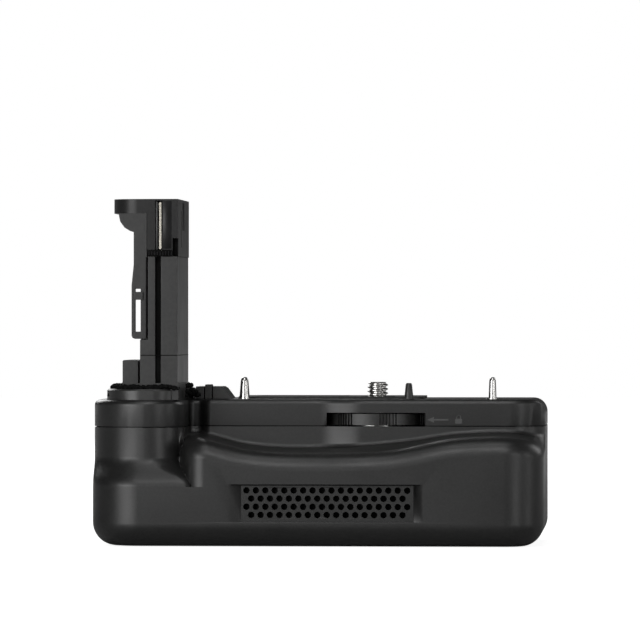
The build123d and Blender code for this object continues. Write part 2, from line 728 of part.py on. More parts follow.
def make_main_board():
    """Circuit board hung below the plate on four spacers."""
    board = block(-59.5, -43.5, -17.0, 26.0, 28.0, 29.6) + block(-44.0, -36.9, 0.0, 26.0, 28.0, 29.6)
    for x, y in ((-57.0, -14.5), (-46.0, -14.5), (-57.0, 23.5), (-39.5, 23.5)):
        board = board + rod(x, y, 1.6, 29.0, PLATE_LOW)
    board = board + block(-56.0, -46.0, 0.0, 10.0, 26.8, 28.2)
    board = board + block(-54.0, -46.0, 14.0, 19.0, 26.9, 28.2)
    return board + block(-56.0, -46.5, -12.0, -5.0, 25.2, 28.2)


def make_housing_screws():
    """Six screws that close the housing from below."""
    screws = [rod(x, y, 1.2, 25.5, 41.0) + rod(x, y, 2.0, 22.4, 24.0) + rod(x, y, 1.2, 23, 26) for x, y in SCREWS]
    return Compound(children=screws)


def make_tower_screws():
    """Four screws that hold the tower from below the deck."""
    screws = []
    for x, y in TOWER_SCREWS:
        screws.append(rod(x, y, 1.05, 41.0, 50.0) + rod(x, y, 2.0, 40.5, DECK_UNDER))
    return Compound(children=screws)


def build_all():
    """Every piece of the grip, by name."""
    lower, outer = make_lower_housing()
    return {
        "lower_housing": lower,
        "upper_housing": make_upper_housing(),
        "vent_grille": make_vent_grille(),
        "chassis_plate": make_chassis_plate(),
        "attachment_screw": make_attachment_screw(),
        "lock_wheel": make_lock_wheel(),
        "screw_clip": make_screw_clip(),
        "wheel_washer": make_wheel_washer(),
        "screw_bearing": make_screw_bearing(),
        "guide_pin_left": make_pin(*PIN_LEFT),
        "guide_pin_right": make_pin(*PIN_RIGHT),
        "locating_peg": make_locating_peg(),
        "tripod_socket": make_tripod_socket(),
        "top_seal": make_top_seal(),
        "tower_base": make_tower_base(),
        "column_left_shell": make_column_left_shell(),
        "column_right_shell": make_column_right_shell(),
        "contact_head": make_contact_head(),
        "tower_contacts": make_tower_contacts(),
        "cover_holder_arm": make_cover_holder_arm(),
        "cover_latch": make_cover_latch(),
        "cover_stop_block": make_cover_stop_block(),
        "tower_collar": make_tower_collar(),
        "tower_gasket": make_tower_gasket(),
        "pocket_block": make_pocket_block(),
        "switch_post": make_switch_post(),
        "battery_door": make_battery_door(outer),
        "door_latch": make_door_latch(),
        "door_hinge_pin": make_door_hinge_pin(),
        "bay_liner": make_bay_liner(),
        "bay_contacts": make_bay_contacts(),
        "battery_catch": make_battery_catch(),
        "catch_bracket": make_catch_bracket(),
        "fan_housing": make_fan_housing(),
        "fan_lid": make_fan_lid(),
        "fan_impeller": make_fan_impeller(),
        "air_duct": make_air_duct(),
        "main_board": make_main_board(),
        "housing_screws": make_housing_screws(),
        "tower_screws": make_tower_screws(),
    }


os.makedirs("parts", exist_ok=True)
for name, shape in build_all().items():
    export_step(shape, "parts/" + name + ".step")
    print(name, len(shape.solids()), "solid(s)", round(shape.volume, 1), "cubic mm")
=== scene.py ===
# %% [markdown]
# # A camera battery grip with a cooling fan
#
# This lesson dresses a CAD model of a battery grip. The CAD model gives every
# rigid piece at its true size, in metres, and the lesson adds what makes it
# look real: moulded plastic with its fine grain, a cut thread, the ribs of the
# thumb wheel, open foam round the tower, a small printed mark, and the light.

import json
import math

import bmesh
import bpy
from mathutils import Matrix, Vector


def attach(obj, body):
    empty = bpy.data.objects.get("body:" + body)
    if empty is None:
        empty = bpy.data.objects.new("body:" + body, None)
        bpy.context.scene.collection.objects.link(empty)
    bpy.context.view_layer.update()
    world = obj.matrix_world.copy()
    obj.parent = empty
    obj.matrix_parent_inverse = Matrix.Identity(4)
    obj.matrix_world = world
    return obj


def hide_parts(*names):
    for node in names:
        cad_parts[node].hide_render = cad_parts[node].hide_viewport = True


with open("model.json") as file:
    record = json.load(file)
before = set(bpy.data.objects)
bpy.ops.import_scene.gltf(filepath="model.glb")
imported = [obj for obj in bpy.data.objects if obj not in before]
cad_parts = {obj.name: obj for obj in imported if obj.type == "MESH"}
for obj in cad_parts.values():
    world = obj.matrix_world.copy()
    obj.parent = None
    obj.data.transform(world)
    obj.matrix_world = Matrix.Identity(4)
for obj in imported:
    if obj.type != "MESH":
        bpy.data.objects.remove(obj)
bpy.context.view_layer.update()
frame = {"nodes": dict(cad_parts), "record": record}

# %% [markdown]
# Blender works in metres here, and a grip is easier to think of in
# millimetres, so every size below is written in millimetres and multiplied by
# MM. An operator acts on all that is selected, and loading the frame leaves
# its nodes selected. One helper deselects everything, another selects only
# the pieces that the next operator is meant for, and a third picks vertices,
# edges or faces in edit mode by a test on their place or normal.

# %% Helpers for selecting
MM = 0.001


def rest_all():
    """Leaves edit mode and deselects every object."""
    if bpy.context.object and bpy.context.object.mode != "OBJECT":
        bpy.ops.object.mode_set(mode="OBJECT")
    bpy.ops.object.select_all(action="DESELECT")


def pick(*pieces):
    """Selects only these objects and makes the first one active."""
    rest_all()
    for piece in pieces:
        piece.select_set(True)
    bpy.context.view_layer.objects.active = pieces[0]


def select_where(piece, kind, test, fresh=True, flush=False):
    """In edit mode, sets the selection of the verts, edges or faces by a test.

    fresh clears the whole selection first, and flush hands the new one on to
    the other kinds.
    """
    if fresh:
        bpy.ops.mesh.select_all(action="DESELECT")
    mesh = bmesh.from_edit_mesh(piece.data)
    for part in getattr(mesh, kind):
        part.select_set(test(part))
    if flush:
        mesh.select_flush_mode()
    bmesh.update_edit_mesh(piece.data)


rest_all()
print("objects left selected:", len(bpy.context.selected_objects))

# %% [markdown]
# ## Moulded plastic
#
# The housings are glass-filled plastic with a fine spark-eroded grain. A
# smooth grey would look like clay. So a fine noise texture gives the grain,
# as a small bump and as two close shades, and a broad one lets the roughness
# wander a little, because handled plastic is never evenly dull. Both read
# Object coordinates, which keep the grain the same size on every piece.

# %% Helpers for node materials
def new_material(name):
    """A node material, with its tree and its shader."""
    material = bpy.data.materials.new(name)
    material.use_nodes = True
    return material, material.node_tree, material.node_tree.nodes["Principled BSDF"]


def add_noise(tree, place, scale, detail=3.0):
    """A noise texture in object space; scale is in lumps per metre."""
    noise = tree.nodes.new("ShaderNodeTexNoise")
    noise.inputs["Scale"].default_value = scale
    noise.inputs["Detail"].default_value = detail
    tree.links.new(place, noise.inputs["Vector"])
    return noise.outputs["Fac"]


def spread(tree, source, start, end, low, high, curve="LINEAR"):
    """Maps a value from one range onto another."""
    ramp = tree.nodes.new("ShaderNodeMapRange")
    ramp.interpolation_type = curve
    ramp.inputs["From Min"].default_value = start
    ramp.inputs["From Max"].default_value = end
    ramp.inputs["To Min"].default_value = low
    ramp.inputs["To Max"].default_value = high
    tree.links.new(source, ramp.inputs["Value"])
    return ramp.outputs["Result"]


def add_bump(tree, height, depth, shader):
    """A faint relief of a depth in millimetres."""
    bump = tree.nodes.new("ShaderNodeBump")
    bump.inputs["Strength"].default_value = 0.2
    bump.inputs["Distance"].default_value = depth * MM
    tree.links.new(height, bump.inputs["Height"])
    tree.links.new(bump.outputs["Normal"], shader.inputs["Normal"])


print("material helpers are ready")

# %% [markdown]
# Black plastic is darker than one thinks: it sends back about one hundredth
# of the light that falls on it, and the rest of what one sees is gloss. The
# colours below are therefore close to black, and the roughness decides how
# wide the highlights are. The tower and the trim have a shallower grain with
# wider lumps.

# %% Moulded plastic
NOISE_SPAN = (0.3, 0.7)
BROAD_SCALE = 60.0
SHALLOW_SKIN = {"grain": 900.0, "depth": 0.01}


def moulded_plastic(name, dark, light, rough, grain=1400.0, depth=0.02, gloss=0.5):
    """Grained plastic between two close colours."""
    material, tree, shader = new_material(name)
    shader.inputs["Specular IOR Level"].default_value = gloss
    place = tree.nodes.new("ShaderNodeTexCoord").outputs["Object"]
    fine = add_noise(tree, place, grain)
    broad = add_noise(tree, place, BROAD_SCALE)
    ramp = tree.nodes.new("ShaderNodeValToRGB")
    for stop, position, colour in zip(ramp.color_ramp.elements, (0.35, 0.65), (dark, light)):
        stop.position = position
        stop.color = (*colour, 1)
    tree.links.new(fine, ramp.inputs["Fac"])
    tree.links.new(ramp.outputs["Color"], shader.inputs["Base Color"])
    wander = spread(tree, broad, *NOISE_SPAN, rough - 0.05, rough + 0.05)
    tree.links.new(wander, shader.inputs["Roughness"])
    add_bump(tree, fine, depth, shader)
    return material


body_plastic = moulded_plastic(
    "housing plastic", (0.007, 0.007, 0.007), (0.011, 0.011, 0.0107), 0.41
)
tower_plastic = moulded_plastic(
    "tower plastic", (0.010, 0.010, 0.010), (0.016, 0.016, 0.0155), 0.43, **SHALLOW_SKIN
)
trim_plastic = moulded_plastic(
    "trim plastic", (0.010, 0.010, 0.010), (0.016, 0.016, 0.015), 0.40, **SHALLOW_SKIN
)
grille_plastic = moulded_plastic(
    "grille plastic", (0.008, 0.008, 0.008), (0.013, 0.013, 0.0125), 0.38
)
fan_plastic = moulded_plastic(
    "fan plastic", (0.006, 0.006, 0.006), (0.009, 0.009, 0.010), 0.5, grain=700.0, depth=0.01
)
print("plastics:", [m.name for m in bpy.data.materials if "plastic" in m.name])

# %% [markdown]
# ## Rubber
#
# The pad on the deck is soft moulded rubber: much duller than the plastic,
# with a coarser skin. The same maker gives it.

# %% Rubber
soft_rubber = moulded_plastic(
    "soft rubber", (0.014, 0.014, 0.014), (0.026, 0.026, 0.025), 0.78, grain=1100.0, depth=0.05
)
print("rubber made:", soft_rubber.name)

# %% [markdown]
# ## Metal
#
# The pins and the camera screw are turned steel. Turning leaves fine rings
# round the axis, and they show as a slightly streaked reflection. A noise
# that is wide along X and Y and packed along Z gives those rings. Rolled
# sheet has its marks along one direction instead.

# %% Turned and rolled metal
RINGS = (300.0, 300.0, 9000.0)
ROLLED = (40.0, 4000.0, 40.0)


def turned_metal(name, colour, rough, marks_per_metre=RINGS):
    """Metal with fine tool marks."""
    material, tree, shader = new_material(name)
    squeeze = tree.nodes.new("ShaderNodeMapping")
    squeeze.inputs["Scale"].default_value = marks_per_metre
    place = tree.nodes.new("ShaderNodeTexCoord").outputs["Object"]
    tree.links.new(place, squeeze.inputs["Vector"])
    marks = add_noise(tree, squeeze.outputs["Vector"], 1.0, 2.0)
    shader.inputs["Base Color"].default_value = (*colour, 1)
    shader.inputs["Metallic"].default_value = 1.0
    wander = spread(tree, marks, *NOISE_SPAN, rough - 0.06, rough + 0.08)
    tree.links.new(wander, shader.inputs["Roughness"])
    add_bump(tree, marks, 0.01, shader)
    return material


bright_steel = turned_metal("turned steel", (0.46, 0.455, 0.445), 0.2)
insert_metal = turned_metal("insert steel", (0.55, 0.55, 0.54), 0.3)
plate_metal = turned_metal("blackened sheet", (0.05, 0.05, 0.052), 0.45, ROLLED)
contact_metal = turned_metal("contact metal", (0.60, 0.57, 0.50), 0.25)
screw_metal = turned_metal("dark screw steel", (0.16, 0.16, 0.165), 0.35)
metals = (bright_steel, insert_metal, plate_metal, contact_metal, screw_metal)
print("metals:", [m.name for m in metals])

# %% [markdown]
# ## Circuit board
#
# The board is only seen when the housing is taken off. Its green lacquer
# gets faint rectangular tracks from a brick pattern.

# %% Board lacquer
board_green, tree, shader = new_material("board lacquer")
place = tree.nodes.new("ShaderNodeTexCoord")
tracks = tree.nodes.new("ShaderNodeTexBrick")
tracks.inputs["Scale"].default_value = 260.0
tracks.inputs["Color1"].default_value = (0.012, 0.070, 0.030, 1)
tracks.inputs["Color2"].default_value = (0.010, 0.058, 0.026, 1)
tracks.inputs["Mortar"].default_value = (0.030, 0.120, 0.055, 1)
tree.links.new(place.outputs["Object"], tracks.inputs["Vector"])
tree.links.new(tracks.outputs["Color"], shader.inputs["Base Color"])
shader.inputs["Roughness"].default_value = 0.35
print("made:", board_green.name)

# %% [markdown]
# Each CAD node has a material slot name in the record, so one small table
# from slot name to finish dresses all of them at once.

# %% Dress the CAD nodes
finishes = {
    "body_plastic": body_plastic,
    "tower_plastic": tower_plastic,
    "trim_plastic": trim_plastic,
    "grille_plastic": grille_plastic,
    "soft_rubber": soft_rubber,
    "bright_steel": bright_steel,
    "plate_metal": plate_metal,
    "contact_metal": contact_metal,
    "insert_metal": insert_metal,
    "board_green": board_green,
    "fan_plastic": fan_plastic,
    "screw_metal": screw_metal,
}
slot_names = {part["node"]: part["material_slot"] for part in frame["record"]["subparts"]}


def dress(piece, finish):
    """Gives a piece one material."""
    piece.data.materials.clear()
    piece.data.materials.append(finish)


for node, slot in slot_names.items():
    dress(frame["nodes"][node], finishes[slot])
print("dressed:", len(slot_names), "nodes")

# %% [markdown]
# ## Standing in for a CAD node
#
# A piece that is modelled here either takes the place of a CAD node or comes
# on top of the nodes. Both kinds have to say which body carries them, so that
# they move with the wheel or the door, and which finish they wear. A new piece
# sits at the origin with its place in its mesh, as the nodes do.

# %% Helpers for finished pieces
body_names = {}
for body, members in frame["record"]["behaviour"]["bodies"].items():
    for member in members:
        body_names[member] = body


def use_modifier(piece, kind, **settings):
    """Adds a modifier, sets it and applies it."""
    pick(piece)
    modifier = piece.modifiers.new(kind.lower(), kind)
    for key, value in settings.items():
        setattr(modifier, key, value)
    bpy.ops.object.modifier_apply(modifier=modifier.name)


def smooth(piece, angle):
    """Shades a piece smooth, but not over edges sharper than the angle."""
    pick(piece)
    bpy.ops.object.shade_smooth_by_angle(angle=math.radians(angle))


def settle(piece, place):
    """Moves a piece to its place and puts the place into its mesh."""
    piece.location = place
    pick(piece)
    bpy.ops.object.transform_apply(location=True, rotation=True, scale=True)


def outward(piece):
    """Merges doubles and turns every face outwards."""
    pick(piece)
    bpy.ops.object.mode_set(mode="EDIT")
    bpy.ops.mesh.select_all(action="SELECT")
    bpy.ops.mesh.remove_doubles(threshold=0.002 * MM)
    bpy.ops.mesh.normals_make_consistent(inside=False)
    bpy.ops.object.mode_set(mode="OBJECT")


def carry(piece, body, finish):
    """A piece on top of the nodes, with its body and finish."""
    dress(piece, finish)
    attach(piece, body)
    return piece


def stand_in(piece, node):
    """The piece takes the place, the body and the finish of a CAD node."""
    slot = slot_names[node]
    dress(piece, finishes[slot])
    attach(piece, body_names[node])
    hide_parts(node)
    return piece


def node_copy(node, name):
    """A copy of a CAD node's mesh under a name of its own."""
    piece = bpy.data.objects.new(name, frame["nodes"][node].data.copy())
    bpy.context.scene.collection.objects.link(piece)
    return piece


print("bodies:", sorted(set(body_names.values())))

# %% [markdown]
# ## Rounded edges and smooth faces
#
# The CAD meshes are loose triangles with knife-sharp edges. Moulded plastic
# has a small radius on every edge, which catches a thin line of light, and
# its curved faces show no facets. A merged copy of each shell gets both: flat
# areas are dissolved into whole faces, a small bevel goes on the sharp edges
# of the tower and the trim, and weighted normals keep the flat faces flat
# while the curves flow. The housings have their radii from CAD already.

# %% Finished copies of the shells
SHARP = 38.0
CURVE = 32.0


def finished_copy(node, edge):
    """A merged and smooth copy of a CAD node; edge is a radius in millimetres."""
    piece = node_copy(node, node + "_finished")
    pick(piece)
    bpy.ops.object.mode_set(mode="EDIT")
    bpy.ops.mesh.select_all(action="SELECT")
    bpy.ops.mesh.remove_doubles(threshold=0.002 * MM)
    bpy.ops.mesh.dissolve_limited(angle_limit=math.radians(0.02))
    bpy.ops.object.mode_set(mode="OBJECT")
    if edge:
        use_modifier(
            piece, "BEVEL", width=edge * MM, segments=2,
            angle_limit=math.radians(SHARP), use_clamp_overlap=True,
        )
    smooth(piece, CURVE)
    use_modifier(piece, "WEIGHTED_NORMAL", weight=80, keep_sharp=True)
    return stand_in(piece, node)


SHELLS = (
    (0.0, ("lower_housing", "upper_housing")),
    (0.16, ("tower_base", "column_left_shell", "column_right_shell", "contact_head")),
    (0.16, ("cover_stop_block",)),
    (0.1, ("cover_holder_arm", "pocket_block", "switch_post", "cover_latch")),
    (0.1, ("top_seal", "tower_collar")),
    (0.0, ("battery_door", "door_latch", "vent_grille")),
)
shells = {node: finished_copy(node, edge) for edge, nodes in SHELLS for node in nodes}
print("finished copies:", len(shells))

# %% [markdown]
# The head of the tower is a separate moulding in a darker plastic than the
# column below it, so its copy gets a finish of its own.

# %% A darker head
head_plastic = moulded_plastic(
    "head plastic", (0.005, 0.005, 0.005), (0.009, 0.009, 0.009), 0.40, gloss=0.3, **SHALLOW_SKIN
)
dress(shells["contact_head"], head_plastic)
print("head dressed in", head_plastic.name)

# %% [markdown]
# ## The camera screw
#
# The screw has the common camera thread: 6.35 mm across, one turn every
# 1.27 mm. Real threads are cut on a lathe, and the same idea works here. One
# vertex is pulled into a zigzag of flanks, and the Screw modifier carries the
# zigzag round the axis and up by one pitch, so that each tooth meets the next
# and one endless helix remains. Two flat cuts trim it.

# %% Cut the thread
SCREW = Vector((17.35, 7.0, 0.0)) * MM
PITCH = 1.27 * MM
MAJOR = 3.17 * MM
MINOR = 2.46 * MM
THREAD_LOW = 42.2 * MM
THREAD_HIGH = 48.98 * MM
ROOT, FLANK, CREST = 0.22, 0.31, 0.16  # shares of the pitch; a tooth has two flanks


def new_vertex(name, place):
    """An object of one vertex, left in edit mode with it selected."""
    rest_all()
    bpy.ops.mesh.primitive_plane_add(size=MM, location=(0, 0, 0))
    piece = bpy.context.object
    piece.name = name
    bpy.ops.object.mode_set(mode="EDIT")
    bpy.ops.mesh.select_all(action="SELECT")
    bpy.ops.mesh.merge(type="CENTER")
    bpy.ops.transform.translate(value=place)
    return piece


def trim(height, **side):
    """Cuts the mesh flat at one height and closes the cut."""
    bpy.ops.mesh.select_all(action="SELECT")
    bpy.ops.mesh.bisect(plane_co=(0, 0, height), plane_no=(0, 0, 1), use_fill=True, **side)


thread = new_vertex("camera_screw_thread", (MINOR, 0, THREAD_LOW - 2 * PITCH))
turns = int((THREAD_HIGH - THREAD_LOW) / PITCH) + 4
depth = MAJOR - MINOR
for outwards, rise in ((0, ROOT), (depth, FLANK), (0, CREST), (-depth, FLANK)) * turns:
    bpy.ops.mesh.extrude_region_move(
        TRANSFORM_OT_translate={"value": (outwards, 0, rise * PITCH)}
    )
use_modifier(
    thread, "SCREW", axis="Z", screw_offset=PITCH, steps=56, render_steps=56,
    use_merge_vertices=True,
)
bpy.ops.object.mode_set(mode="EDIT")
bpy.ops.mesh.select_all(action="SELECT")
bpy.ops.mesh.remove_doubles(threshold=0.001 * MM)
trim(THREAD_HIGH, clear_outer=True)
trim(THREAD_LOW, clear_inner=True)
outward(thread)
print("thread faces:", len(thread.data.polygons))

# %% [markdown]
# A lead-in lets the screw find its hole. The thread is cut down to a turned
# blank: a cylinder whose top edge is bevelled, and what both have in common
# is kept.

# %% Give the thread its lead-in
BLANK_DEPTH = 8 * MM
BLANK_DROP = 4.005 * MM
rest_all()
bpy.ops.mesh.primitive_cylinder_add(
    vertices=96, radius=MAJOR + 0.01 * MM, depth=BLANK_DEPTH,
    location=(0, 0, THREAD_HIGH - BLANK_DROP),
)
blank = bpy.context.object
bpy.ops.object.transform_apply(location=True)
bpy.ops.object.mode_set(mode="EDIT")
select_where(blank, "faces", lambda face: face.normal.z > 0.9)
bpy.ops.mesh.bevel(offset=0.5 * MM, segments=1, affect="EDGES")
bpy.ops.object.mode_set(mode="OBJECT")
use_modifier(thread, "BOOLEAN", operation="INTERSECT", object=blank, solver="EXACT")
bpy.data.objects.remove(blank)
outward(thread)
smooth(thread, 30)
settle(thread, SCREW)
stand_in(thread, "attachment_screw")
print("thread from", round(THREAD_LOW / MM, 2), "to", round(THREAD_HIGH / MM, 2), "mm")

# %% [markdown]
# ## Turned pieces
#
# Below the thread the screw has a plain neck, which the wheel and the clip
# hold. Two steel pins line the camera up before the screw bites. They are
# ground to a slim taper with a rounded tip, so that they find their holes,
# and a dark peg beside the screw does the same. All of them are turned from
# one circle: every row of a profile is a height and a radius, and each step
# is an extrusion that is then scaled.

# %% Turn the neck
def turned(name, place, profile, corners, angle):
    """A closed turned piece from rows of height and radius in millimetres."""
    rest_all()
    low, first = profile[0]
    bpy.ops.mesh.primitive_circle_add(
        vertices=corners, radius=first * MM, fill_type="NGON", location=(0, 0, low * MM)
    )
    piece = bpy.context.object
    piece.name = name
    bpy.ops.object.transform_apply(location=True)
    bpy.ops.object.mode_set(mode="EDIT")
    bpy.ops.mesh.select_all(action="SELECT")
    for (height, radius), (next_height, next_radius) in zip(profile, profile[1:]):
        rise = (next_height - height) * MM
        grow = next_radius / radius
        bpy.ops.mesh.extrude_region_move(TRANSFORM_OT_translate={"value": (0, 0, rise)})
        bpy.ops.transform.resize(value=(grow, grow, 1.0))
    outward(piece)
    smooth(piece, angle)
    settle(piece, place)
    return piece


NECK = [(32.25, 2.6), (32.65, 2.98), (42.15, 2.98), (42.45, 2.4)]
neck = turned("camera_screw_neck", SCREW, NECK, 64, 30)
carry(neck, "wheel", bright_steel)
print("neck faces:", len(neck.data.polygons))

# %% [markdown]
# ## The thumb wheel
#
# The wheel is moulded with eight plain pads and, between them, eight sunk
# patches of fine ribs, so that a thumb finds a hold at any angle. A cylinder
# with a corner every half degree has the right corners already: those in the
# valleys only have to move in towards the axis, all at once. Insets cut the
# chamfer, the raised face and the dished ring into both of its sides.

# %% Model the thumb wheel
RIM = 17.58 * MM
VALLEY = 16.95 * MM
WHEEL_MIDDLE = 37.75 * MM
WHEEL_DEPTH = 3.38 * MM
PAD_TURN = -99.4
PATCH_EVERY = 45.0
PATCH_START = 14.0
PATCH_WIDTH = 17.0
RIB_WIDTH = 1.55
SIDE_STEPS = ((0.15, 0.05), (1.0, 0.0), (3.3, 0.0), (0.2, -0.7), (6.2, 0.0), (0.2, 0.7))


def in_valley(vertex):
    """Whether a vertex is on the rim, between two ribs of a patch."""
    if vertex.co.xy.length < RIM - 0.3 * MM:
        return False
    turn = math.degrees(math.atan2(vertex.co.y, vertex.co.x)) - PAD_TURN
    patch = turn % PATCH_EVERY - PATCH_START
    return 0 <= patch <= PATCH_WIDTH and int(patch / RIB_WIDTH) % 2 == 0


rest_all()
bpy.ops.mesh.primitive_cylinder_add(
    vertices=720, radius=RIM, depth=WHEEL_DEPTH, location=(0, 0, WHEEL_MIDDLE)
)
wheel = bpy.context.object
wheel.name = "thumb_wheel"
bpy.ops.object.transform_apply(location=True)
bpy.ops.object.mode_set(mode="EDIT")
bpy.context.tool_settings.mesh_select_mode = (False, False, True)
for side in (1, -1):
    select_where(wheel, "faces", lambda face: face.normal.z * side > 0.9)
    for thickness, sink in SIDE_STEPS:
        bpy.ops.mesh.inset(thickness=thickness * MM, depth=sink * MM)
bpy.context.tool_settings.mesh_select_mode = (True, False, False)
select_where(wheel, "verts", in_valley)
bpy.ops.transform.resize(value=(VALLEY / RIM, VALLEY / RIM, 1.0), center_override=(0, 0, 0))
bpy.context.tool_settings.mesh_select_mode = (False, False, True)
outward(wheel)
smooth(wheel, 25)
settle(wheel, SCREW)
stand_in(wheel, "lock_wheel")
print("wheel faces:", len(wheel.data.polygons))

# %% [markdown]
# ## The guide pins
#
# The pins and the peg come from the same lathe as the neck. Both pins share
# the shape of their tip. The left pin is the thicker one, so its tip is
# scaled up.

# %% Turn the guide pins and the peg
TIP = [(49.7, 0.96), (50.1, 0.87), (50.4, 0.68), (50.55, 0.42), (50.6, 0.1)]
LEFT_PIN = [(40.2, 2.5), (41.0, 2.5), (41.0, 2.0), (44.1, 2.0), (44.1, 1.6), (46.2, 1.42)]
LEFT_PIN += [(49.2, 1.2)] + [(height, 1.16 * radius) for height, radius in TIP]
RIGHT_PIN = [(40.2, 2.3), (41.0, 2.3), (41.0, 1.8), (44.1, 1.8), (44.1, 1.2), (46.2, 1.14)]
RIGHT_PIN += [(49.2, 1.02)] + TIP
PEG = [(40.2, 1.8), (43.9, 1.8), (43.9, 1.5), (45.6, 1.25), (48.4, 0.98), (48.8, 0.72)]
for node, place, profile in (
    ("guide_pin_left", (-22.9, -3.0, 0.0), LEFT_PIN),
    ("guide_pin_right", (52.9, -3.0, 0.0), RIGHT_PIN),
    ("locating_peg", (27.5, -6.0, 0.0), PEG),
):
    stand_in(turned(node + "_turned", Vector(place) * MM, profile, 48, 40), node)
print("rings on a pin:", len(LEFT_PIN))

# %% [markdown]
# ## The arrow and the padlock
#
# A small mark beside the wheel shows which way to turn it to lock the camera
# on. It is printed in a slightly lighter tone than the plastic. The arrow is
# a bar whose left edge is pulled out and drawn to a point. The padlock is a
# plate with rounded corners under half a ring. The ring starts as a small
# plate too, and its face stays selected, so that the spin carries all of it
# round. Everything is laid flat first, and then given a hair's thickness on
# the wall.

# %% Draw the mark
def flat_plate(name, centre, size):
    """A flat plate in the plane of the mark, left in edit mode."""
    rest_all()
    bpy.ops.mesh.primitive_plane_add(size=1.0, location=(centre[0] * MM, centre[1] * MM, 0))
    piece = bpy.context.object
    piece.name = name
    piece.scale = (size[0] * MM, size[1] * MM, 1.0)
    bpy.ops.object.transform_apply(location=True, scale=True)
    bpy.ops.object.mode_set(mode="EDIT")
    bpy.context.tool_settings.mesh_select_mode = (False, True, False)
    return piece


def middle(edge):
    """The middle of an edge."""
    return (edge.verts[0].co + edge.verts[1].co) / 2


arrow = flat_plate("arrow", (4.3, 0.0), (4.4, 0.5))
select_where(arrow, "edges", lambda edge: middle(edge).x < 2.2 * MM, fresh=False)
bpy.ops.mesh.extrude_edges_move(TRANSFORM_OT_translate={"value": (0, 0, 0)})
bpy.ops.transform.resize(value=(1.0, 3.6, 1.0))
bpy.ops.mesh.extrude_edges_move(TRANSFORM_OT_translate={"value": (-2.0 * MM, 0, 0)})
bpy.ops.transform.resize(value=(1.0, 0.02, 1.0))
lock = flat_plate("lock", (9.6, -0.45), (2.1, 1.5))
bpy.ops.mesh.select_all(action="SELECT")
bpy.ops.mesh.bevel(offset=0.3 * MM, segments=3, affect="VERTICES")
bow = flat_plate("bow", (9.0, 0.5), (0.32, 0.4))
select_where(bow, "edges", lambda edge: middle(edge).y > 0.69 * MM, fresh=False)
bpy.ops.mesh.spin(
    steps=10, angle=math.radians(180), center=(9.6 * MM, 0.7 * MM, 0), axis=(0, 0, 1)
)
bpy.ops.mesh.extrude_edges_move(TRANSFORM_OT_translate={"value": (0, -0.4 * MM, 0)})
rest_all()
for part in (arrow, lock, bow):
    print(part.name, "reaches", [round(v / MM, 2) for v in part.dimensions])

# %% Stand the mark on the wall
MARK = Vector((33.2, -10.03, 37.7)) * MM
MARK_SKIN = 0.06 * MM
pick(arrow, lock, bow)
bpy.ops.object.join()
mark = bpy.context.object
mark.name = "turn_mark"
mark.rotation_euler = (math.radians(90), 0, 0)
bpy.ops.object.transform_apply(rotation=True)
use_modifier(mark, "SOLIDIFY", thickness=MARK_SKIN, offset=0.0)
outward(mark)
settle(mark, MARK)
mark_paint = moulded_plastic(
    "printed mark", (0.050, 0.050, 0.050), (0.066, 0.066, 0.066), 0.5, **SHALLOW_SKIN
)
carry(mark, "grip", mark_paint)
print("mark faces:", len(mark.data.polygons))

# %% [markdown]
# ## Painted shade and dark inlays
#
# The tower is pressed together from several mouldings. Its grooves, slot,
# notch and seams are filled with near-black bars, which are painted shade, and
# a contact window sits in its head. Each one is a thin bar with eased edges: a
# cube taken to its size, then bevelled. Bars of one colour are joined to one
# piece. Behind the grille lies a near-black sheet of painted shade, so that its
# holes look deep, and a near-black strip along the top of the pocket is a
# painted shadow under its upper edge.

# %% A maker for inlays and painted shade
# This near-black finish with almost no gloss is painted shade: bars in it stand in for the shade
# in grooves, slots, gaps and behind the grille.
shade_black = moulded_plastic(
    "painted shade black", (0.002, 0.002, 0.002), (0.004, 0.004, 0.004), 0.5,
    gloss=0.04, **SHALLOW_SKIN,
)
window_black = moulded_plastic(
    "contact window", (0.006, 0.006, 0.006), (0.009, 0.009, 0.010), 0.3,
    gloss=0.2, **SHALLOW_SKIN,
)


def eased_bar(low, high, ease=0.08):
    """A bar between two corners in millimetres, with eased edges."""
    rest_all()
    centre = [(a + b) / 2 * MM for a, b in zip(low, high)]
    bpy.ops.mesh.primitive_cube_add(size=1.0, location=centre)
    bar = bpy.context.object
    bar.scale = [(b - a) * MM for a, b in zip(low, high)]
    bpy.ops.object.transform_apply(location=True, scale=True)
    bpy.ops.object.mode_set(mode="EDIT")
    bpy.ops.mesh.select_all(action="SELECT")
    bpy.ops.mesh.bevel(offset=ease * MM, segments=2, affect="EDGES")
    bpy.ops.object.mode_set(mode="OBJECT")
    return bar


def join_bars(name, bars, finish):
    """Joins bars of one finish and fixes them to the grip."""
    pick(*bars)
    if len(bars) > 1:
        bpy.ops.object.join()
    joined = bpy.context.object
    joined.name = name
    smooth(joined, 30)
    return carry(joined, "grip", finish)


print("inlay colours:", shade_black.name, "and", window_black.name)

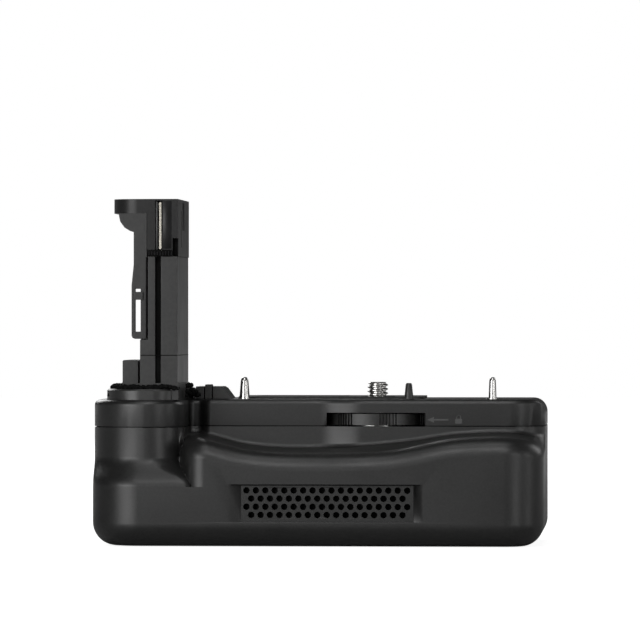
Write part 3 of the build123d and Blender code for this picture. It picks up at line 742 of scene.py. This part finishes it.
# %% Lay the painted shade, the contact window and the rib
# Painted shade: near-black bars in the tower's grooves, slot, notch and seams, where shade
# falls.
tower_painted_shade = join_bars("tower_painted_shade", [
    eased_bar((-48.08, -25.6, 49.2), (-46.42, -25.3, 87.1)),  # groove of the column
    eased_bar((-48.08, -26.1, 49.0), (-46.42, -25.9, 57.2)),  # groove of the foot
    eased_bar((-48.08, -24.75, 88.7), (-46.98, -24.45, 103.9)),  # back of the slot
    eased_bar((-46.28, -25.6, 88.7), (-45.92, -24.45, 103.9)),  # edge of the slot
    eased_bar((-42.78, -25.75, 87.3), (-41.4, -25.35, 92.6)),  # notch of the head
    eased_bar((-41.25, -11.0, 95.2), (-41.16, -5.5, 103.6), 0.03),  # side of the head
    eased_bar((-50.9, -27.46, 62.5), (-50.55, -27.18, 87.0)),  # beside the arm
    eased_bar((-52.72, -27.05, 57.22), (-41.37, 11.04, 57.5)),  # seam of column and foot
    eased_bar((-50.45, -27.46, 87.25), (-42.85, -27.3, 89.2), 0.05),  # under the head
], shade_black)
window = join_bars("contact_window", [
    eased_bar((-45.7, -27.46, 89.5), (-43.1, -27.36, 103.9), 0.04),
], window_black)
rib = join_bars("slot_rib", [
    eased_bar((-47.85, -27.2, 89.2), (-47.3, -24.7, 103.7)),
], tower_plastic)
# Painted shade: a near-black sheet behind the grille's holes, and a painted shadow along the top
# edge of its pocket.
grille_shade = join_bars("grille_painted_shade", [
    eased_bar((-21.5, -33.75, 7.6), (30.3, -33.4, 18.7)),
    eased_bar((-24.4, -36.98, 18.5), (32.2, -36.5, 18.78), 0.05),  # painted shadow under the top edge of the pocket
], shade_black)
print("inlays:", [piece.name for piece in (tower_painted_shade, window, rib, grille_shade)])

# %% [markdown]
# At the foot of the head a comb of small teeth guides the camera's contact
# springs. One tooth is a bar whose front face is drawn in to an edge. The
# rest are copies at an even pitch, each with its own mesh.

# %% Cut the comb
TEETH = 9
TOOTH_PITCH = 0.84


def own_copy(piece, step):
    """A copy with its own mesh, moved by a step in millimetres."""
    twin = piece.copy()
    twin.data = piece.data.copy()
    bpy.context.scene.collection.objects.link(twin)
    settle(twin, Vector(step) * MM)
    return twin


tooth = eased_bar((-50.1, -27.75, 87.35), (-49.68, -27.3, 88.85), 0.03)
bpy.ops.object.mode_set(mode="EDIT")
bpy.context.tool_settings.mesh_select_mode = (True, False, False)
select_where(tooth, "verts", lambda vertex: vertex.co.y < -27.6 * MM, flush=True)
bpy.ops.transform.resize(
    value=(0.5, 1.0, 0.7), center_override=(-49.89 * MM, -27.75 * MM, 88.1 * MM)
)
bpy.ops.object.mode_set(mode="OBJECT")
copies = [own_copy(tooth, (TOOTH_PITCH * number, 0, 0)) for number in range(1, TEETH)]
comb = join_bars("head_comb", [tooth, *copies], window_black)
print("comb faces:", len(comb.data.polygons))

# %% [markdown]
# ## The foam gasket
#
# The gasket round the tower's foot is open foam. Its edge is ragged, and that
# shows against the white of the photograph. The CAD ring is joined with
# copies of one small lump, where foam is squeezed out. Remesh turns both into
# small even faces, and a cloud pattern then pushes them in and out.

# %% Roughen the gasket
LUMPS = (
    (-61.9, -22.0, 46.2), (-61.2, -22.0, 47.3), (-60.2, -22.0, 48.0), (-59.0, -22.0, 48.1),
    (-62.1, -22.0, 45.2), (-45.6, -27.0, 47.9), (-44.6, -27.0, 47.6), (-43.6, -27.0, 47.8),
    (-42.6, -27.0, 47.5), (-41.7, -26.7, 47.3), (-40.9, -6.5, 45.2), (-40.6, -5.5, 46.3),
    (-39.8, -4.0, 45.6), (-39.2, -3.2, 46.6), (-38.4, -3.0, 45.4), (-37.8, -2.9, 46.2),
    (-37.1, -2.9, 45.1),
)
foam = node_copy("tower_gasket", "gasket_foam")
rest_all()
bpy.ops.mesh.primitive_ico_sphere_add(subdivisions=2, radius=0.75 * MM, location=(0, 0, 0))
lump = bpy.context.object
lump.scale = (1.0, 2.4, 0.8)
bpy.ops.object.transform_apply(scale=True)
lumps = [own_copy(lump, place) for place in LUMPS]
bpy.data.objects.remove(lump)
pick(foam, *lumps)
bpy.ops.object.join()
outward(foam)
use_modifier(foam, "REMESH", mode="VOXEL", voxel_size=0.3 * MM)
clouds = bpy.data.textures.new("foam clouds", "CLOUDS")
clouds.noise_scale = 0.9 * MM
use_modifier(
    foam, "DISPLACE", texture=clouds, strength=1.6 * MM, mid_level=0.45, texture_coords="LOCAL"
)
pick(foam)
bpy.ops.object.shade_smooth()
stand_in(foam, "tower_gasket")
open_foam = moulded_plastic(
    "open foam", (0.002, 0.002, 0.002), (0.008, 0.008, 0.008), 0.8,
    grain=1600.0, depth=0.05, gloss=0.05,
)
dress(foam, open_foam)
print("foam faces:", len(foam.data.polygons))

# %% [markdown]
# ## Floor and backdrop
#
# The grip stands on white with no horizon. The floor is a pale surface that
# takes the lamps and the shadow of the grip. A glow fills it up to white for
# the camera and for rays through glass; it is a little weaker round the grip,
# so that the shadow stays. Glossy rays get that glow only far from the grip:
# a white floor close by would grey out the underside of black plastic.

# %% White for some rays only
def white_share(tree, glossy_weight):
    """One for camera and glass rays, the given weight for glossy rays."""
    rays = tree.nodes.new("ShaderNodeLightPath").outputs

    def combine(operation, first, second):
        """A Math node fed by two sockets."""
        node = tree.nodes.new("ShaderNodeMath")
        node.operation = operation
        tree.links.new(first, node.inputs[0])
        tree.links.new(second, node.inputs[1])
        return node.outputs["Value"]

    glossy = combine("MULTIPLY", rays["Is Glossy Ray"], glossy_weight)
    clear = combine("MAXIMUM", rays["Is Camera Ray"], rays["Is Transmission Ray"])
    return combine("MAXIMUM", clear, glossy)


print("helper for white surroundings is ready")

# %% Floor
FLOOR_SHADE = 0.4
GLOSSY_REACH = (0.3, 1.3)
SHADOW_REACH = (0.15, 0.9)
SHADOW_GLOW = 0.9


def stage_white(name):
    """A pale surface that the camera sees as white, with a soft shadow kept."""
    material, tree, shader = new_material(name)
    shader.inputs["Base Color"].default_value = (FLOOR_SHADE, FLOOR_SHADE, FLOOR_SHADE, 1)
    shader.inputs["Roughness"].default_value = 0.9
    shader.inputs["Emission Color"].default_value = (1, 1, 1, 1)
    place = tree.nodes.new("ShaderNodeTexCoord")
    reach = tree.nodes.new("ShaderNodeVectorMath")
    reach.operation = "LENGTH"
    tree.links.new(place.outputs["Object"], reach.inputs[0])
    distance = reach.outputs["Value"]
    share = white_share(tree, spread(tree, distance, *GLOSSY_REACH, 0.0, 1.0, "SMOOTHSTEP"))
    glow = tree.nodes.new("ShaderNodeMath")
    glow.operation = "MULTIPLY"
    tree.links.new(share, glow.inputs[0])
    filled = spread(tree, distance, *SHADOW_REACH, SHADOW_GLOW, 1.0, "SMOOTHSTEP")
    tree.links.new(filled, glow.inputs[1])
    tree.links.new(glow.outputs["Value"], shader.inputs["Emission Strength"])
    return material


rest_all()
bpy.ops.mesh.primitive_plane_add(size=6.0, location=(0, 0, -0.2 * MM))
floor = bpy.context.object
floor.name = "floor"
dress(floor, stage_white("studio white"))
print("floor is", round(floor.dimensions.x, 2), "m wide")

# %% [markdown]
# ## Camera
#
# The photograph is taken from far away with a long lens, level, and a few
# degrees round to the right. That was worked out from edges that run to the
# back, such as those of the tower.

# %% Camera
TURN = math.radians(3.6)
DISTANCE = 1.640
EYE_HEIGHT = 0.068
IMAGE_WIDTH = 640
PIXEL = 0.306 * MM
SENSOR = 36.0
camera_data = bpy.data.cameras.new("photo camera")
camera = bpy.data.objects.new("photo camera", camera_data)
bpy.context.scene.collection.objects.link(camera)
camera.location = (DISTANCE * math.sin(TURN), -DISTANCE * math.cos(TURN), EYE_HEIGHT)
camera.rotation_euler = (math.radians(90), 0, TURN)
camera_data.sensor_width = SENSOR
camera_data.lens = SENSOR * DISTANCE / (IMAGE_WIDTH * PIXEL)
camera_data.clip_start = 0.05
camera_data.clip_end = 20.0
bpy.context.scene.camera = camera
print("lens:", round(camera_data.lens, 1), "mm")

# %% [markdown]
# ## Light
#
# Product photographs of black plastic use large soft boxes at the sides, so
# that edges catch long soft highlights while the faces stay dark. A wide box
# at the front left is the main lamp. Weaker ones stand at the right, at the
# side, above and behind, so that every side of the grip reads.

# %% Lamps
AIM = Vector((0.0, 0.0, 0.04))
BOXES = (
    ("left box", (-0.71, -1.09, 0.15), (0.75, 0.5), 9.5),
    ("right box", (0.80, -1.02, 0.15), (0.25, 0.5), 2.3),
    ("side box", (1.25, -0.31, 0.22), (0.3, 0.5), 1.7),
    ("front top box", (0.00, -0.97, 0.91), (0.5, 0.3), 3.4),
    ("top box", (0.00, -0.36, 1.29), (0.5, 0.4), 2.2),
    ("back box", (-0.50, 1.08, 0.57), (0.7, 0.5), 5.5),
    ("back right box", (0.92, 0.77, 0.53), (0.3, 0.5), 2.0),
)


def soft_box(name, place, size, power):
    """A rectangular lamp that looks at the grip; size in metres, power in watts."""
    data = bpy.data.lights.new(name, "AREA")
    data.shape = "RECTANGLE"
    data.size, data.size_y = size
    data.energy = power
    lamp = bpy.data.objects.new(name, data)
    bpy.context.scene.collection.objects.link(lamp)
    lamp.location = place
    lamp.rotation_euler = (AIM - Vector(place)).to_track_quat("-Z", "Y").to_euler()


for box in BOXES:
    soft_box(*box)
print("lamps:", [box[0] for box in BOXES])

# %% [markdown]
# The world is white for the camera and nearly dark as a light. Glossy rays
# see a soft white card in front of the grip, which fades out to the sides:
# white on every side would turn black plastic grey.

# %% World
CARD_REACH = (-0.25, -0.95)
CARD_LEVEL = 0.35
FILL_LEVEL = 0.05
world = bpy.data.worlds.new("studio")
bpy.context.scene.world = world
world.use_nodes = True
tree = world.node_tree
backdrop = tree.nodes["Background"]
backdrop.inputs["Color"].default_value = (1, 1, 1, 1)
direction = tree.nodes.new("ShaderNodeTexCoord")
split = tree.nodes.new("ShaderNodeSeparateXYZ")
tree.links.new(direction.outputs["Generated"], split.inputs["Vector"])
card = spread(tree, split.outputs["Y"], *CARD_REACH, 0.0, CARD_LEVEL, "SMOOTHSTEP")
level = spread(tree, white_share(tree, card), 0.0, 1.0, FILL_LEVEL, 1.0)
tree.links.new(level, backdrop.inputs["Strength"])
bpy.context.scene.view_settings.view_transform = "Standard"
print("world:", world.name, "with a fill of", FILL_LEVEL)
